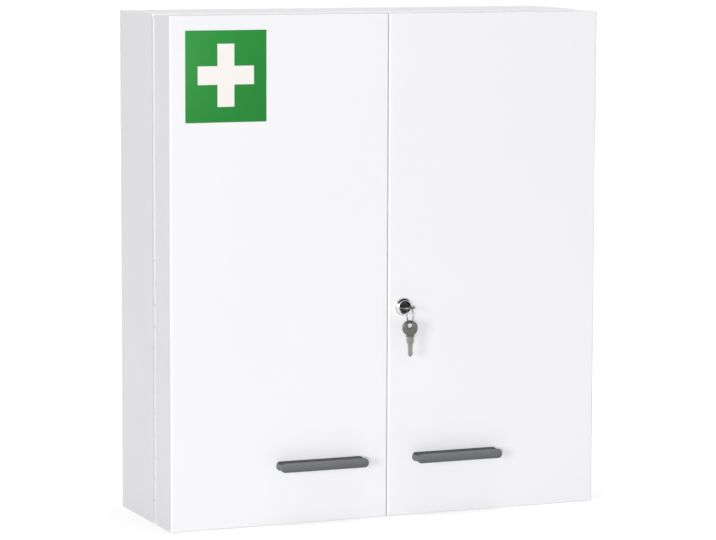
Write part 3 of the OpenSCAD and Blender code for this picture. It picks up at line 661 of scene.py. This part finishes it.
def makeScrews(side):
    # a handle's two screws, their heads inside the door
    low, high = corners(side + "_handle_screws")
    radius = (high.z - low.z) / 2
    middle = (low.z + high.z) / 2
    crowns = [Vector((x, high.y, middle)) for x in (low.x + radius, high.x - radius)]
    bm = bmesh.new()
    for crown in crowns:
        turnScrew(bm, crown, radius, low.y)
    heal(bm)
    half, reach = screw["recessWidth"] / 2, screw["recessLength"] / 2
    for crown in crowns:
        for shift in (-reach, -half, half, reach):
            cut(bm, (crown.x + shift, 0, 0), (1, 0, 0))
    for shift in (-reach, -half, half, reach):
        cut(bm, (0, 0, middle + shift), (0, 0, 1))
    for crown in crowns:
        sinkCross(bm, crown)
    bmesh.ops.recalc_face_normals(bm, faces=bm.faces)
    place(bm, side + "_handle_screw_pair", finishes["zinc_steel"], side + "_door",
          [side + "_handle_screws"])


for side in ("left", "right"):
    makeHandle(side)
    makeScrews(side)
print("handles made")


ring = {"turns": 2, "steps": 72, "section": 14, "flatness": 0.5}  # steps to a turn, and sides of the wire


def makeRing():
    # wire wound twice and flattened, as a split ring is
    low, high = corners("key_ring")
    centre = (low + high) / 2
    thick = (high.x - low.x) / 2
    radius = (high.z - low.z) / 2 - thick
    bm = bmesh.new()
    start = Matrix.Translation(centre + Vector((-thick / 2, 0, radius))) @ Matrix.Rotation(pi / 2, 4, "Y")
    start = start @ Matrix.Rotation(pi / 2, 4, "X") @ Matrix.Diagonal((1, ring["flatness"], 1, 1))
    bmesh.ops.create_circle(bm, cap_ends=True, segments=ring["section"], radius=thick, matrix=start)
    steps = ring["turns"] * ring["steps"]
    bmesh.ops.spin(bm, geom=bm.verts[:] + bm.edges[:] + bm.faces[:], cent=centre, axis=(1, 0, 0),
                   dvec=(thick / steps, 0, 0), angle=2 * pi * ring["turns"], steps=steps)
    heal(bm, 0.002)
    place(bm, "split_ring", springSteel(), "ring", ["key_ring"], smoothAngle=60)


makeRing()
print("key ring made")


# a key lies flat with its shoulder at zero: the bow towards -y, the blade towards +y;
# the bitting is pairs of a share of the blade's length and a share of its width
key = {
    "thickness": 1.6, "bowRadius": 9.1, "bowCentre": -10.3, "holeRadius": 3.4, "holeCentre": -13.6,
    "segments": 64, "rim": 0.8, "stamping": 0.25, "stampingSlope": 0.2, "edge": 0.3, "edgeAngle": 60,
    "collarWidth": 9.6, "collarLength": 3.4, "collarThickness": 2.0,
    "collarGroove": 0.35, "groovePlace": 0.6, "grooveHalf": 0.4,
    "bladeWidth": 8.4, "bladeLength": 23.5, "milling": 0.22, "millingWidth": 1.5, "millingPlace": 0.6,
    "lean": -2, "leanRise": 0.6,
    "bitting": ((0, 0.95), (0.3, 0.95), (0.34, 0.66), (0.42, 0.52), (0.5, 0.6), (0.57, 0.5), (0.64, 0.56),
                (0.71, 0.5), (0.77, 0.5), (0.8, 0.6), (0.9, 0.6), (1, 0.2)),
}


def thicken(bm, faces, thickness):
    # extrudes flat faces into a plate centred on where they were
    bmesh.ops.translate(bm, vec=(0, 0, -thickness / 2), verts=list({v for f in faces for v in f.verts}))
    grown = bmesh.ops.extrude_face_region(bm, geom=faces, use_keep_orig=True)["geom"]
    bmesh.ops.translate(bm, vec=(0, 0, thickness), verts=vertsOf(grown))
    bmesh.ops.recalc_face_normals(bm, faces=bm.faces)


def keyBow():
    # two circles bridged into a flat eye, thickened, with its middle stamped down inside a rim
    bm = bmesh.new()
    for radius, centre in (("bowRadius", "bowCentre"), ("holeRadius", "holeCentre")):
        bmesh.ops.create_circle(bm, segments=key["segments"], radius=key[radius],
                                matrix=Matrix.Translation((0, key[centre], 0)))
    bmesh.ops.bridge_loops(bm, edges=bm.edges[:])
    thicken(bm, bm.faces[:], key["thickness"])
    for side in (1, -1):
        flat = looking(bm, side)
        bmesh.ops.inset_region(bm, faces=flat, thickness=key["rim"], depth=0, use_even_offset=True)
        bmesh.ops.inset_region(bm, faces=flat, thickness=key["stampingSlope"], depth=-key["stamping"],
                               use_even_offset=True)
    soften(bm, key["edge"], angle=key["edgeAngle"])
    return bm


def keyCollar():
    # a thicker block at the shoulder, with a groove pinched across it
    bm = bmesh.new()
    half = key["collarThickness"] / 2
    block(bm, (-key["collarWidth"] / 2, -key["collarLength"], -half), (key["collarWidth"] / 2, 0, half))
    groove = -key["collarLength"] * key["groovePlace"]
    for shift in (-key["grooveHalf"], 0, key["grooveHalf"]):
        cut(bm, (0, groove + shift, 0), (0, 1, 0))
    bmesh.ops.scale(bm, vec=(1, 1, 1 - key["collarGroove"] / half),
                    verts=[v for v in bm.verts if isAt(v.co.y, groove)])
    soften(bm, key["edge"], angle=key["edgeAngle"])
    return bm


def keyBlade():
    # the cut outline thickened, then a groove milled along each face
    bm = bmesh.new()
    width, length = key["bladeWidth"] / 2, key["bladeLength"]
    outline = [(width * share, length * along) for along, share in key["bitting"]]
    outline += [(-x, y) for x, y in reversed(outline)]
    thicken(bm, [bm.faces.new([bm.verts.new((x, y, 0)) for x, y in outline])], key["thickness"])
    for side in (1, -1):
        groove = key["millingPlace"] * side
        for shift in (-key["millingWidth"] / 2, 0, key["millingWidth"] / 2):
            cut(bm, (groove + shift, 0, 0), (1, 0, 0))
        for v in bm.verts:
            if isAt(v.co.x, groove) and v.co.z * side > 0:
                v.co.z -= side * key["milling"]
    bm.normal_update()
    soften(bm, key["edge"] / 2, angle=key["edgeAngle"])
    return bm


def makeKey(name, body, node, matrix):
    # bow, collar and blade joined; the blade has the second finish
    bm = bmesh.new()
    for part, finish in ((keyBow(), 0), (keyCollar(), 0), (keyBlade(), 1)):
        for f in part.faces:
            f.material_index = finish
        mesh = bpy.data.meshes.new(name)
        part.to_mesh(mesh)
        part.free()
        bm.from_mesh(mesh)
        bpy.data.meshes.remove(mesh)
    bmesh.ops.transform(bm, matrix=matrix, verts=bm.verts)
    piece = place(bm, name, finishes["nickel"], body, [node], smoothAngle=45)
    piece.data.materials.append(bladeFinish)


def makeKeys():
    low, high = corners("lock_key")
    middle = (low + high) / 2
    inLock = Matrix.Translation((middle.x, high.y - key["bladeLength"], middle.z))
    makeKey("key_in_lock", "key", "lock_key", inLock)
    # the spare keys hang blade down; the second one leans, turned about the foot of the ring
    hang = Matrix.Rotation(-pi / 2, 4, "X")
    low, high = corners("spare_key")
    height = low.z + key["bladeLength"]
    shoulder = Matrix.Translation((middle.x, (low.y + high.y) / 2, height))
    makeKey("hanging_key", "spare", "spare_key", shoulder @ hang)
    low, high = corners("second_spare_key")
    shoulder = Matrix.Translation((middle.x, (low.y + high.y) / 2, height))
    pivot = Matrix.Translation((middle.x, 0, corners("key_ring")[0].z + key["leanRise"]))
    lean = pivot @ Matrix.Rotation(radians(key["lean"]), 4, "Y") @ pivot.inverted()
    makeKey("second_hanging_key", "second_spare", "second_spare_key", lean @ shoulder @ hang)


makeKeys()
print("keys made")
